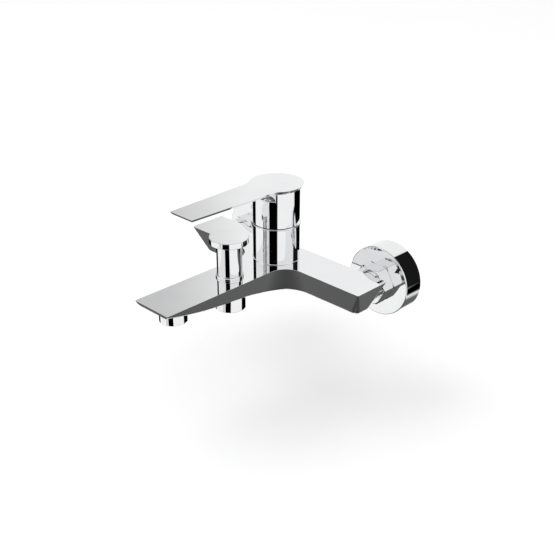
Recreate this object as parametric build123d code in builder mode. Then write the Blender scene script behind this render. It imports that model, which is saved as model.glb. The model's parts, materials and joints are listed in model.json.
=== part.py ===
"""A wall mounted bath faucet: single lever mixer with a pull-up diverter, in millimetres.

Origin: on the wall, midway between the two inlets, at their height.
+X points right as seen by the bather, +Y into the wall, +Z up.
Every height that starts with "h_" is measured from the flat top of the body, the deck.
"""

from build123d import *
import math
import os

# ---------------------------------------------------------------- driving dimensions
inlet_spacing = 150.0
column_y = -63.3  # axis of the column in front of the wall
deck_z = 13.5  # flat top of the body above the inlets' axes
body_depth = 24.5

# T-shaped body
bar_half_length = 98.6
bar_front_y = -72.3
bar_back_y = -37.0
spout_half_width = 19.5
spout_tip_y = -198.5
corner_radius = 17.0  # inner corners of the T, at the deck
draft_angle = 20.0  # all sides lean in towards the underside
underside_round = 5.0
corner_round = 1.2
corner_growth = 0.6  # the bar's upright corners get rounder towards the underside

# column and cartridge
column_radius = 19.8
h_column_top = 31.0
cavity_radius = 17.7
h_cavity_floor = -3.0
nut_bore_radius = 18.4
h_nut_seat = 27.0
cartridge_radius = 17.5
h_pivot = 33.5  # axis of the stem's pivot pin
running_gap = 0.06
disc_radius = 11.5  # moving disc, its carrier and the rotor's neck
pin_radius = 1.5
port_radius = 3.4
h_disc_seat = 4.0
h_disc_split = 9.0
disc_gap = 0.02
h_screw = 54.0  # axis of the lever's screw
screw_radius = 2.45
plug_radius = 3.15

# lever
lift_angle = 18.0
relief_angle = lift_angle + 1.0  # cut under the back of the skirt
h_skirt_bottom = 32.6
h_plate_bottom = 64.0
h_plate_top = 66.0
plate_end_radius = 22.8
paddle_tip_y = column_y - 101.9
paddle_tip_half_width = 12.7
paddle_root_half_width = 15.2
paddle_root_y = column_y - 28.0
skirt_wall = 2.2
h_skirt_ceiling = 60.5

# diverter
diverter_y = column_y - 53.9
knob_radius = 16.05
knob_thickness = 4.9
knob_cover = 2.0  # metal left above the spindle's end
groove_radius = 1.9
h_knob_top = 34.5
neck_radius = 10.4
h_neck_top = 29.3
spindle_radius = 2.5
chamber_radius = 11.0
chamber_floor_z = -4.0
valve_z = chamber_floor_z + 0.3
spring_bore_radius = 8.4
neck_cap = 3.0
bonnet_low_z = 6.6
h_collar_top = 2.4

# outlets
outlet_radius = 12.75
outlet_bottom_z = -15.1
outlet_thread_radius = 9.3
outlet_thread_length = 7.1
gasket_recess_radius = 9.8
gasket_recess_height = 2.0
aerator_y = column_y - 114.0
aerator_radius = 11.3
aerator_bottom_z = -4.4
aerator_shoulder_z = 5.0
aerator_top_z = 9.0
waterway_top_z = 10.8
aerator_sleeve_radius = 10.3  # the ring's thread above its shoulder
aerator_bore = 9.1

# inlets
boss_radius = 13.2
inlet_bore_radius = 11.6
inlet_way_radius = 8.0
seat_y = -24.5  # face between tailpiece and washer
nut_across_flats = 30.0
nut_front_y = -31.0
escutcheon_front_y = -18.85
escutcheon_radius = 30.1
escutcheon_wall = 1.2
union_thread_radius = 13.15
wall_thread_radius = 10.48
wall_thread_length = 20.0
union_offset = 7.5  # the eccentric union's wall end sits this much lower
union_bore_radius = 7.0
union_waist_radius = 11.6
thread_gap = 0.05

upward = (Align.CENTER, Align.CENTER, Align.MIN)
downward = (Align.CENTER, Align.CENTER, Align.MAX)
port_centres = [(-8.0, column_y + 8.7), (8.0, column_y + 8.7), (0.0, column_y - 10.0)]
clip_z = deck_z + 5.0  # groove of the spring clip, with the valve down

os.makedirs("parts", exist_ok=True)


# ---------------------------------------------------------------- helpers
def above_deck(height):
    """Row height of a point that is given from the deck."""
    return deck_z + height


def upright(y, z=0.0, x=0.0):
    """A plane facing the bather, so that its own y is up."""
    return Plane(origin=(x, y, z), x_dir=(1, 0, 0), z_dir=(0, -1, 0))


def profile(plane, *points):
    """A flat face with straight sides."""
    with BuildSketch(plane) as sketch:
        with BuildLine():
            Polyline(*points, close=True)
        make_face()
    return sketch.sketch


def lathe_axis(y, x=0.0):
    """A vertical turning axis."""
    return Axis((x, y, 0), (0, 0, 1))


def upright_from_wall(x):
    """A plane through one inlet's axis: its own x is up, its own y runs into the wall."""
    return Plane(origin=(x, 0, 0), x_dir=(0, 0, 1), z_dir=(-1, 0, 0))


def wallward_axis(x):
    """The axis of one inlet."""
    return Axis((x, 0, 0), (0, 1, 0))


def ring_profile(plane, inner, outer, low, high):
    """The section of a plain ring."""
    return profile(plane, (inner, low), (outer, low), (outer, high), (inner, high))


def honeycomb(pitch, reach):
    """Centres of a honeycomb of holes that all lie within reach of the middle."""
    row_step = pitch * math.sqrt(0.75)
    count = math.ceil(reach / row_step)
    points = []
    for row in range(-count, count + 1):
        for column in range(-count - 1, count + 2):
            x, y = (column + 0.5 * (row % 2)) * pitch, row * row_step
            if math.hypot(x, y) < reach:
                points.append((x, y))
    return points


def side_name(sign):
    return "right" if sign > 0 else "left"


def finish_piece(piece, name):
    """Label one piece and write its STEP file."""
    piece.part.label = name
    export_step(piece.part, f"parts/{name}.step")


# ---------------------------------------------------------------- body casting
def body_outline(z, inset):
    """The T-shaped plan of the body at one height, set in from the deck's outline."""
    length = bar_half_length - inset
    front = bar_front_y + inset
    back = bar_back_y - inset
    width = spout_half_width - inset
    tip = spout_tip_y + inset
    with BuildSketch(Plane.XY.offset(z)) as sketch:
        with BuildLine():
            Polyline(
                (-length, back), (length, back), (length, front), (width, front), (width, tip),
                (-width, tip), (-width, front), (-length, front), close=True,
            )
        make_face()
        inner = [v for v in sketch.vertices() if abs(abs(v.X) - width) < 0.01 and v.Y > front - 0.01]
        fillet(inner, corner_radius + inset)
        ends = [v for v in sketch.vertices() if abs(abs(v.X) - length) < 0.01]
        fillet(ends, corner_round + corner_growth * inset)
    return sketch.sketch


def below_spout():
    """Everything under the spout's rising underside, as a face seen from the side."""
    root = (column_y - 12.7, deck_z - body_depth)
    floor = deck_z - 40.0
    with BuildSketch(Plane.YZ) as sketch:
        with BuildLine():
            Spline(
                root,
                (column_y - 39.7, deck_z - 20.0),
                (column_y - 83.7, deck_z - 14.9),
                (column_y - 100.0, deck_z - 12.2),
                (column_y - 115.0, deck_z - 8.8),
                (column_y - 128.0, deck_z - 5.3),
                (spout_tip_y - 1.5, deck_z - 2.6),
                tangents=[(-1, 0), (-1, 0.42)],
            )
            Polyline((spout_tip_y - 1.5, deck_z - 2.6), (spout_tip_y - 1.5, floor), (root[0], floor), root)
        make_face()
    return sketch.sketch


def make_body_casting():
    """The one-piece casting: bar, spout, column, outlet boss and inlet bosses, with its waterways."""
    inset = body_depth * math.tan(math.radians(draft_angle))
    hot_x, port_y = port_centres[1]
    mixed_y = port_centres[2][1]
    channel_radius, port_way_radius = 6.0, 4.0
    mixed_port_radius, mixed_way_radius, mixed_way_z = 3.8, 4.2, 2.5
    valve_seat_radius = 5.5
    spout_way_width, spout_way_height = 16.0, 4.2
    overlap = 5.0  # how far the column and the bosses reach into the body
    beyond = 60.0  # cuts that run out of the body
    with BuildPart() as body:
        loft([body_outline(deck_z, 0.0), body_outline(deck_z - body_depth, inset)], ruled=True)
        extrude(below_spout(), amount=beyond, both=True, mode=Mode.SUBTRACT)
        under = body.edges().filter_by(lambda e: e.center().Z < deck_z - 1.5)
        level_edges = [e for e in under if abs((e @ 0).Z - (e @ 1).Z) < 0.6 * e.length and e.length > 3]
        fillet([e for e in level_edges if abs(e.center().Y - spout_tip_y) > 6], underside_round)
        with Locations((0, column_y, deck_z - overlap)):
            Cylinder(column_radius, h_column_top + overlap, align=upward)
        with Locations((0, diverter_y, outlet_bottom_z)):
            Cylinder(outlet_radius, 20, align=upward)
        for sign in (-1, 1):
            with Locations((sign * inlet_spacing / 2, bar_back_y - 12, 0)):
                Cylinder(boss_radius, 13, rotation=(-90, 0, 0), align=upward)
        outlet_rim = body.edges().filter_by(GeomType.CIRCLE).group_by(Axis.Z)[0]
        chamfer(outlet_rim, 0.6)
        # cartridge cavity, with the wider bore of the retaining nut above it
        with Locations((0, column_y, above_deck(h_cavity_floor))):
            Cylinder(cavity_radius, beyond, align=upward, mode=Mode.SUBTRACT)
        with Locations((0, column_y, above_deck(h_nut_seat))):
            Cylinder(nut_bore_radius, beyond, align=upward, mode=Mode.SUBTRACT)
        # hot and cold ways: inlet bore, channel along the bar, and port up to the cartridge
        run = inlet_spacing / 2 - hot_x
        for sign in (-1, 1):
            with Locations((sign * inlet_spacing / 2, bar_back_y - 8, 0)):
                Cylinder(inlet_bore_radius, 20, rotation=(-90, 0, 0), align=upward, mode=Mode.SUBTRACT)
            with Locations((sign * inlet_spacing / 2, port_y, 0)):
                Cylinder(inlet_way_radius, 18, rotation=(-90, 0, 0), align=upward, mode=Mode.SUBTRACT)
            with Locations((sign * (hot_x + run / 2), port_y, 0)):
                Cylinder(channel_radius, run, rotation=(0, 90, 0), mode=Mode.SUBTRACT)
            with Locations((sign * hot_x, port_y, 0)):
                Cylinder(port_way_radius, 20, align=upward, mode=Mode.SUBTRACT)
        # mixed water: down from the cartridge, forward to the diverter, then along the spout
        with Locations((0, mixed_y, 1.0)):
            Cylinder(mixed_port_radius, 20, align=upward, mode=Mode.SUBTRACT)
        with Locations((0, diverter_y, mixed_way_z)):
            Cylinder(
                mixed_way_radius, mixed_y + 5 - diverter_y, rotation=(-90, 0, 0), align=upward, mode=Mode.SUBTRACT
            )
        with Locations((0, diverter_y, chamber_floor_z)):
            Cylinder(chamber_radius, beyond, align=upward, mode=Mode.SUBTRACT)
            Cylinder(valve_seat_radius, 10, mode=Mode.SUBTRACT)
        with Locations((0, (diverter_y + aerator_y) / 2, waterway_top_z)):
            Box(
                spout_way_width, diverter_y - aerator_y, spout_way_height, align=downward, mode=Mode.SUBTRACT
            )
        with Locations((0, aerator_y, waterway_top_z)):
            Cylinder(aerator_sleeve_radius + 0.1, beyond, align=downward, mode=Mode.SUBTRACT)
        with Locations((0, aerator_y, aerator_shoulder_z + 0.15)):
            Cylinder(aerator_radius + 0.12, beyond, align=downward, mode=Mode.SUBTRACT)
        # shower hose thread, with a wider recess for its washer above it
        with Locations((0, diverter_y, outlet_bottom_z)):
            Cylinder(outlet_thread_radius, outlet_thread_length, align=upward, mode=Mode.SUBTRACT)
        with Locations((0, diverter_y, outlet_bottom_z + outlet_thread_length)):
            Cylinder(gasket_recess_radius, gasket_recess_height, align=upward, mode=Mode.SUBTRACT)
    return body


# ---------------------------------------------------------------- cartridge
def make_cartridge_base():
    """Plastic foot of the cartridge, with the hot, cold and mixed ports."""
    low, rim, top = above_deck(h_cavity_floor + 0.6), above_deck(1.0), above_deck(h_disc_seat)
    spigot_radius, seal_groove_radius, seal_groove_depth = 15.4, 5.4, 1.4
    with BuildPart() as base:
        with Locations((0, column_y, low)):
            Cylinder(cartridge_radius, rim - low, align=upward)
        with Locations((0, column_y, rim)):
            Cylinder(spigot_radius, top - rim, align=upward)
        with Locations(*[(x, y, low) for x, y in port_centres]):
            Hole(port_radius)
        with Locations(*[(x, y, low) for x, y in port_centres]):
            Cylinder(seal_groove_radius, seal_groove_depth, mode=Mode.SUBTRACT)
    return base


def make_port_seals():
    """Three rubber rings between the cartridge's foot and the cavity floor."""
    floor = above_deck(h_cavity_floor)
    seal_radius, seal_height = 5.3, 1.25
    with BuildPart() as seals:
        for x, y in port_centres:
            section = ring_profile(upright(y, floor, x), port_radius + 0.1, seal_radius, 0.0, seal_height)
            revolve(section, axis=lathe_axis(y, x))
    return seals


def make_fixed_disc():
    """Lower ceramic disc: three ports, held still by the foot."""
    seat = above_deck(h_disc_seat)
    closer = 0.75  # the disc's ports stand closer together than the foot's
    with BuildPart() as disc:
        with Locations((0, column_y, seat)):
            Cylinder(13.5, h_disc_split - h_disc_seat, align=upward)
        with Locations(*[(x * closer, column_y + (y - column_y) * closer, seat) for x, y in port_centres]):
            Cylinder(2.8, 20, mode=Mode.SUBTRACT)
    return disc


def make_moving_disc():
    """Upper ceramic disc, with the mixing recess in its underside."""
    with BuildPart() as disc:
        with Locations((0, column_y, above_deck(h_disc_split) + disc_gap)):
            Cylinder(disc_radius, 4.0, align=upward)
            Cylinder(7.0, 4.4, mode=Mode.SUBTRACT)
    return disc


def make_disc_carrier():
    """Plastic carrier on the moving disc: its key slides in the rotor and holds the stem's ball."""
    low = above_deck(h_disc_split + 4.0) + disc_gap
    key_width, key_length, key_height = 14.0, 12.0, 13.2
    ball_socket_radius = 3.5
    with BuildPart() as carrier:
        with Locations((0, column_y, low)):
            Cylinder(disc_radius, 7.0, align=upward)
            Box(key_width, key_length, key_height, align=upward)
        with Locations((0, column_y, above_deck(20.0))):
            Cylinder(ball_socket_radius, 20, align=upward, mode=Mode.SUBTRACT)
    return carrier


def make_cartridge_housing():
    """Plastic shell of the cartridge: a cup over the discs, with a neck for the rotor."""
    bore = disc_radius + running_gap
    inside, neck, low, ceiling, neck_top = 15.5, 13.0, 1.0, 24.0, 33.0
    section = profile(
        upright(column_y, deck_z),
        (inside, low), (cartridge_radius, low), (cartridge_radius, h_nut_seat), (neck, h_nut_seat),
        (neck, neck_top), (bore, neck_top), (bore, ceiling), (inside, ceiling),
    )
    with BuildPart() as housing:
        revolve(section, axis=lathe_axis(column_y))
    return housing


def make_rotor():
    """Turning part of the cartridge: it carries the stem's pin and turns the disc carrier."""
    flange, low, step, top = 14.5, 20.4, 23.7, 37.5
    key_slot_width, key_slot_height = 14.6, 7.0
    stem_slot_width, stem_slot_length = 8.4, 14.5
    section = profile(
        upright(column_y, deck_z),
        (0, low), (flange, low), (flange, step), (disc_radius, step), (disc_radius, top), (0, top),
    )
    with BuildPart() as rotor:
        revolve(section, axis=lathe_axis(column_y))
        with Locations((0, column_y, above_deck(20.0))):
            Box(key_slot_width, 40, key_slot_height, align=upward, mode=Mode.SUBTRACT)
        with Locations((0, column_y - 1.2, above_deck(20.0))):
            Box(stem_slot_width, stem_slot_length, 30, align=upward, mode=Mode.SUBTRACT)
        with Locations((0, column_y, above_deck(h_pivot))):
            Cylinder(pin_radius, 40, rotation=(0, 90, 0), mode=Mode.SUBTRACT)
    return rotor


def make_pivot_pin():
    """Steel pin that the stem tilts on."""
    with BuildPart() as pin:
        with Locations((0, column_y, above_deck(h_pivot))):
            Cylinder(pin_radius, 22.0, rotation=(0, 90, 0))
        chamfer(pin.edges().filter_by(GeomType.CIRCLE), 0.3)
    return pin


def make_control_stem():
    """Stem of the cartridge: ball below, pin hole in the middle, square end for the lever."""
    h_ball, ball_radius, ball_height = 24.5, 3.0, 5.6
    waist_radius, waist_length = 2.4, 6.0
    h_square, square_width, square_depth, square_length = 29.2, 7.8, 8.0, 27.3
    with BuildPart() as stem:
        with Locations((0, column_y, above_deck(h_ball))):
            Cylinder(ball_radius, ball_height)
        fillet(stem.edges().filter_by(GeomType.CIRCLE), 1.6)
        with Locations((0, column_y, above_deck(h_ball))):
            Cylinder(waist_radius, waist_length, align=upward)
        with Locations((0, column_y, above_deck(h_square))):
            Box(square_width, square_depth, square_length, align=upward)
        chamfer(stem.faces().sort_by(Axis.Z)[-1].edges(), 0.6)
        with Locations((0, column_y, above_deck(h_pivot))):
            Cylinder(pin_radius + running_gap, 20, rotation=(0, 90, 0), mode=Mode.SUBTRACT)
    return stem


def make_retaining_nut():
    """Brass ring nut, slotted for a pin spanner, that clamps the cartridge into the column."""
    low, height, hole_radius = above_deck(h_nut_seat), 3.6, 13.2
    slot_length, slot_width, slot_depth = 8.0, 3.0, 1.5
    with BuildPart() as nut:
        with Locations((0, column_y, low)):
            Cylinder(nut_bore_radius - thread_gap, height, align=upward)
        with Locations((0, column_y, low + height)):
            with PolarLocations(16.0, 4):
                Box(slot_length, slot_width, 2 * slot_depth, mode=Mode.SUBTRACT)
        with Locations((0, column_y, low)):
            Cylinder(hole_radius, 30, mode=Mode.SUBTRACT)
    return nut


def make_cover_dome():
    """Chromed cover over the cartridge: a bright bead at the seam and a ball-shaped dome inside the lever."""
    pivot_z = above_deck(h_pivot)
    seam = h_column_top - h_pivot
    outer, inner, mouth = 16.9, 15.9, 10.5
    bead_height, bead_radius, flat_radius = 1.2, 20.7, 20.1
    outer_low = (math.sqrt(outer**2 - (seam + bead_height) ** 2), seam + bead_height)
    inner_low = (math.sqrt(inner**2 - seam**2), seam)
    outer_high = (mouth, math.sqrt(outer**2 - mouth**2))
    inner_high = (mouth, math.sqrt(inner**2 - mouth**2))
    with BuildPart() as dome:
        with BuildSketch(upright(column_y, pivot_z)):
            with BuildLine():
                Line(inner_low, (flat_radius, seam))
                ThreePointArc(
                    (flat_radius, seam), (bead_radius, seam + bead_height / 2), (flat_radius, seam + bead_height)
                )
                Line((flat_radius, seam + bead_height), outer_low)
                RadiusArc(outer_low, outer_high, -outer)
                Line(outer_high, inner_high)
                RadiusArc(inner_high, inner_low, inner)
            make_face()
        revolve(axis=lathe_axis(column_y))
    return dome


# ---------------------------------------------------------------- lever
def lever_outline(z, inset):
    """Plan of the lever: a round head and a straight paddle, joined by soft shoulders."""
    tip = paddle_tip_y + inset
    root = (paddle_root_half_width - inset, paddle_root_y)
    toe = (paddle_tip_half_width - inset, tip)
    radius = plate_end_radius - inset
    bearing = math.radians(-38.0)
    shoulder = (radius * math.cos(bearing), column_y + radius * math.sin(bearing))
    along_paddle = (paddle_root_half_width - paddle_tip_half_width, paddle_root_y - paddle_tip_y)
    along_head = (-math.sin(bearing), math.cos(bearing))
    with BuildSketch(Plane.XY.offset(z)) as sketch:
        with BuildLine():
            Line(toe, root)
            Spline(root, shoulder, tangents=[along_paddle, along_head])
            ThreePointArc(shoulder, (0, column_y + radius), (-shoulder[0], shoulder[1]))
            Spline(
                (-shoulder[0], shoulder[1]), (-root[0], root[1]),
                tangents=[(along_head[0], -along_head[1]), (along_paddle[0], -along_paddle[1])],
            )
            Line((-root[0], root[1]), (-toe[0], tip))
            Line((-toe[0], tip), toe)
        make_face()
    return sketch.sketch


def make_lever_handle():
    """Lever in one casting: thin paddle plate, round skirt over the cartridge, and a socket for the stem."""
    plate_low, plate_top = above_deck(h_plate_bottom), above_deck(h_plate_top)
    flare = 9.0  # hollow curve from skirt to paddle
    skirt_blend = 1.6
    h_socket, socket_radius = 51.0, 7.2
    reach = 40.0  # cuts that run out behind the skirt
    with BuildPart() as lever:
        loft([lever_outline(plate_low, 1.0), lever_outline(plate_top, 0.0)], ruled=True)
        with Locations((0, column_y, above_deck(h_skirt_bottom))):
            Cylinder(column_radius, h_plate_bottom - h_skirt_bottom, align=upward)
        seam = lever.edges().filter_by(GeomType.CIRCLE).filter_by(
            lambda e: abs(e.center().Z - plate_low) < 0.01 and abs(e.radius - column_radius) < 0.01
        )
        fillet(seam, skirt_blend)
    with BuildPart() as gusset:
        with BuildSketch(upright(column_y, deck_z)):
            with BuildLine():
                Line((10.0, h_plate_bottom - flare), (column_radius, h_plate_bottom - flare))
                ThreePointArc(
                    (column_radius, h_plate_bottom - flare),
                    (column_radius + flare * (1 - math.sqrt(0.5)), h_plate_bottom - flare * (1 - math.sqrt(0.5))),
                    (column_radius + flare, h_plate_bottom),
                )
                Polyline(
                    (column_radius + flare, h_plate_bottom), (column_radius + flare, h_plate_bottom + 0.5),
                    (10.0, h_plate_bottom + 0.5), (10.0, h_plate_bottom - flare),
                )
            make_face()
        revolve(axis=lathe_axis(column_y))
        with BuildSketch(Plane.XY.offset(above_deck(50.0))):
            with Locations((0, column_y - 25.0)):
                Rectangle(2 * (paddle_root_half_width - skirt_blend), 34)
        extrude(amount=30, mode=Mode.INTERSECT)
    with BuildPart() as handle:
        add(lever.part)
        add(gusset.part)
        with Locations((0, column_y, above_deck(h_skirt_ceiling))):
            Cylinder(column_radius - skirt_wall, 60, align=downward, mode=Mode.SUBTRACT)
        with Locations((0, column_y, above_deck(h_socket))):
            Cylinder(socket_radius, h_skirt_ceiling + 0.5 - h_socket, align=upward)
            Box(7.9, 8.1, 6.0, align=upward, mode=Mode.SUBTRACT)
        # relief at the back, so that the skirt clears the column as the lever lifts
        rise = reach * math.tan(math.radians(relief_angle))
        wedge = Plane(origin=(0, column_y, above_deck(h_skirt_bottom)), x_dir=(0, 1, 0), z_dir=(1, 0, 0))
        relief = profile(wedge, (0, 0), (reach, rise), (reach, -5), (0, -5))
        extrude(relief, amount=reach, both=True, mode=Mode.SUBTRACT)
        # screw hole at the back, through skirt and socket
        with Locations((0, column_y + 3.9, above_deck(h_screw))):
            Cylinder(screw_radius + 0.05, 12, rotation=(-90, 0, 0), align=upward, mode=Mode.SUBTRACT)
        with Locations((0, column_y + 12, above_deck(h_screw))):
            Cylinder(plug_radius + 0.05, 12, rotation=(-90, 0, 0), align=upward, mode=Mode.SUBTRACT)
    return handle


def make_set_screw():
    """Grub screw with a hexagon socket that clamps the lever to the stem."""
    key_size = 2.5
    with BuildPart() as screw:
        with Locations((0, column_y + 4.1, above_deck(h_screw))):
            Cylinder(screw_radius, 5.0, rotation=(-90, 0, 0), align=upward)
        back = Plane(origin=(0, column_y + 9.1, above_deck(h_screw)), x_dir=(1, 0, 0), z_dir=(0, 1, 0))
        with BuildSketch(back):
            RegularPolygon(key_size / 2, 6, major_radius=False)
        extrude(amount=-2.5, mode=Mode.SUBTRACT)
    return screw


def make_screw_plug():
    """Small chromed plug that hides the grub screw."""
    axis_plane = Plane(origin=(0, column_y, above_deck(h_screw)), x_dir=(1, 0, 0), z_dir=(0, 1, 0))
    with BuildPart() as plug:
        with BuildSketch(axis_plane.offset(16.5)):
            Circle(plug_radius)
            Circle(2.0, mode=Mode.SUBTRACT)
        extrude(amount=2.6)
        with BuildSketch(axis_plane.offset(18.4)):
            Circle(plug_radius)
        extrude(amount=0.9)
    return plug


# ---------------------------------------------------------------- diverter
def make_diverter_bonnet():
    """Brass bonnet in the top of the spout: guides the spindle and forms the valve's upper seat."""
    top, lid, seat_radius, guide_radius = 16.0, 1.5, 5.5, 5.6
    with BuildPart() as bonnet:
        with Locations((0, diverter_y, bonnet_low_z)):
            Cylinder(chamber_radius - thread_gap, deck_z - bonnet_low_z, align=upward)
            Cylinder(seat_radius, 20, mode=Mode.SUBTRACT)
        with Locations((0, diverter_y, deck_z - lid)):
            Cylinder(guide_radius, top - deck_z + lid, align=upward)
        # window through which the water leaves for the spout
        with Locations((0, diverter_y - 8, 8.4)):
            Box(12, 16, 3.2, align=upward, mode=Mode.SUBTRACT)
        with Locations((0, diverter_y, 0)):
            Cylinder(spindle_radius + running_gap, 60, mode=Mode.SUBTRACT)
    return bonnet


def make_diverter_collar():
    """Bright ring where the diverter's neck meets the spout."""
    section = ring_profile(upright(diverter_y, deck_z), 8.0, neck_radius + 1.1, 0.0, h_collar_top)
    with BuildPart() as collar:
        revolve(section, axis=lathe_axis(diverter_y))
        top_rim = collar.edges().filter_by(GeomType.CIRCLE).group_by(Axis.Z)[-1].sort_by(SortBy.RADIUS)[-1]
        fillet(top_rim, 0.8)
    return collar


def make_diverter_neck():
    """Fixed chromed sleeve around the spring, closed by a cap that guides the spindle."""
    spindle_hole = spindle_radius + running_gap
    section = profile(
        upright(diverter_y, deck_z),
        (spring_bore_radius, h_collar_top), (neck_radius, h_collar_top), (neck_radius, h_neck_top),
        (spindle_hole, h_neck_top), (spindle_hole, h_neck_top - neck_cap), (spring_bore_radius, h_neck_top - neck_cap),
    )
    with BuildPart() as neck:
        revolve(section, axis=lathe_axis(diverter_y))
        rim = neck.edges().filter_by(GeomType.CIRCLE).group_by(Axis.Z)[-1].sort_by(SortBy.RADIUS)[-1]
        chamfer(rim, 0.3)
    return neck


def make_diverter_spindle():
    """Rod from the valve up to the knob, with a groove for the spring clip."""
    with BuildPart() as spindle:
        with Locations((0, diverter_y, valve_z)):
            Cylinder(spindle_radius, above_deck(h_knob_top - knob_cover) - valve_z, align=upward)
        groove = ring_profile(upright(diverter_y, clip_z), groove_radius, 5.0, 0.0, 0.9)
        revolve(groove, axis=lathe_axis(diverter_y), mode=Mode.SUBTRACT)
    return spindle


def make_diverter_knob():
    """Round flat pull knob."""
    low, top = above_deck(h_knob_top - knob_thickness), above_deck(h_knob_top)
    with BuildPart() as knob:
        with Locations((0, diverter_y, low)):
            Cylinder(knob_radius, top - low, align=upward)
        fillet(knob.edges().filter_by(GeomType.CIRCLE).group_by(Axis.Z)[-1], 0.35)
        chamfer(knob.edges().filter_by(GeomType.CIRCLE).group_by(Axis.Z)[0], 0.5)
        with Locations((0, diverter_y, low)):
            Cylinder(spindle_radius, knob_thickness - knob_cover, align=upward, mode=Mode.SUBTRACT)
    return knob


def make_diverter_valve():
    """Rubber-faced disc on the spindle: down it closes the shower outlet, up it closes the spout."""
    section = ring_profile(upright(diverter_y, valve_z), spindle_radius, 8.0, 0.0, 2.2)
    with BuildPart() as valve:
        revolve(section, axis=lathe_axis(diverter_y))
    return valve


def make_spring_clip():
    """Steel clip in the spindle's groove that the spring pushes on."""
    with BuildPart() as clip:
        with BuildSketch(Plane.XY.offset(clip_z + 0.05)):
            with Locations((0, diverter_y)):
                Circle(6.0)
                Circle(groove_radius, mode=Mode.SUBTRACT)
            with Locations((0, diverter_y - 5)):
                Rectangle(3.6, 10, mode=Mode.SUBTRACT)
        extrude(amount=0.8)
    return clip


def make_diverter_spring():
    """Compression spring that drops the valve when the water stops."""
    turns, coil_radius, wire_radius = 6.0, 4.6, 0.45
    low, high = clip_z + 1.4, above_deck(h_neck_top - neck_cap) - 0.6
    with BuildPart() as spring:
        with BuildLine():
            Helix(pitch=(high - low) / turns, height=high - low, radius=coil_radius, center=(0, diverter_y, low))
        with BuildSketch(Plane(origin=(coil_radius, diverter_y, low), x_dir=(1, 0, 0), z_dir=(0, 1, 0))):
            Circle(wire_radius)
        sweep(is_frenet=True)
    return spring


def make_outlet_gasket():
    """Rubber washer in the recess above the shower hose thread."""
    low = outlet_bottom_z + outlet_thread_length + 0.2
    section = ring_profile(upright(diverter_y, low), 6.0, gasket_recess_radius - 0.2, 0.0, gasket_recess_height - 0.25)
    with BuildPart() as gasket:
        revolve(section, axis=lathe_axis(diverter_y))
    return gasket


# ---------------------------------------------------------------- aerator
def make_aerator_housing():
    """Chromed ring screwed into the spout, with key slots in its lower rim."""
    low, shoulder, top = aerator_bottom_z, aerator_shoulder_z, aerator_top_z
    lip_radius, lip_height = 8.6, 1.2
    section = profile(
        upright(aerator_y),
        (lip_radius, low), (aerator_radius, low), (aerator_radius, shoulder), (aerator_sleeve_radius, shoulder),
        (aerator_sleeve_radius, top), (aerator_bore, top), (aerator_bore, low + lip_height), (lip_radius, low + lip_height),
    )
    with BuildPart() as housing:
        revolve(section, axis=lathe_axis(aerator_y))
        rims = housing.edges().filter_by(GeomType.CIRCLE).group_by(Axis.Z)[0].sort_by(SortBy.RADIUS)
        chamfer(rims[-1], 0.5)
        with Locations((0, aerator_y, low)):
            with PolarLocations(10.4, 2, start_angle=45):
                Box(4.4, 2.6, lip_height, mode=Mode.SUBTRACT)
    return housing


def make_aerator_insert():
    """Plastic flow straightener: a drum with a honeycomb of small ways."""
    low, height = aerator_bottom_z + 1.25, 5.0
    pitch, field_radius, way_radius = 2.7, 7.6, 1.0
    with BuildPart() as insert:
        with Locations((0, aerator_y, low)):
            Cylinder(aerator_bore - 0.1, height, align=upward)
        with BuildSketch(Plane.XY.offset(low)):
            with Locations(*[(x, aerator_y + y) for x, y in honeycomb(pitch, field_radius)]):
                Circle(way_radius)
        extrude(amount=height, mode=Mode.SUBTRACT)
    return insert


def make_aerator_washer():
    """Rubber washer between the aerator and the spout."""
    section = ring_profile(
        upright(aerator_y), 7.0, aerator_sleeve_radius, aerator_top_z + 0.05, waterway_top_z - 0.1
    )
    with BuildPart() as washer:
        revolve(section, axis=lathe_axis(aerator_y))
    return washer


# ---------------------------------------------------------------- wall connections
def make_tailpiece(x):
    """Brass inlet stub screwed into the body, with the collar that holds the union nut."""
    inner_end, collar_front, collar_back, collar_radius = bar_back_y - 8.0, -27.8, seat_y - 0.1, 12.9
    section = profile(
        upright_from_wall(x),
        (inlet_way_radius, inner_end), (inlet_bore_radius, inner_end), (inlet_bore_radius, collar_front),
        (collar_radius, collar_front), (collar_radius, collar_back), (inlet_way_radius, collar_back),
    )
    with BuildPart() as tailpiece:
        revolve(section, axis=wallward_axis(x))
    return tailpiece


def make_union_nut(x):
    """Hexagon union nut, flat side up, that pulls the body onto the eccentric union."""
    length = escutcheon_front_y - 0.1 - nut_front_y
    crown_radius, rim_radius, rim_height = 17.4, 15.6, 1.1
    front = Plane(origin=(x, nut_front_y, 0), x_dir=(1, 0, 0), z_dir=(0, 1, 0))
    with BuildPart() as nut:
        with BuildSketch(front):
            RegularPolygon(nut_across_flats / 2, 6, major_radius=False)
        extrude(amount=length)
        crown = profile(
            upright_from_wall(x),
            (0, nut_front_y), (rim_radius, nut_front_y), (crown_radius, nut_front_y + rim_height),
            (crown_radius, nut_front_y + length - rim_height), (rim_radius, nut_front_y + length),
            (0, nut_front_y + length),
        )
        revolve(crown, axis=wallward_axis(x), mode=Mode.INTERSECT)
        with Locations((x, nut_front_y, 0)):
            Cylinder(inlet_bore_radius + 0.1, 60, rotation=(-90, 0, 0), mode=Mode.SUBTRACT)
        with Locations((x, -28.0, 0)):
            Cylinder(union_thread_radius + thread_gap, 30, rotation=(-90, 0, 0), align=upward, mode=Mode.SUBTRACT)
    return nut


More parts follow.
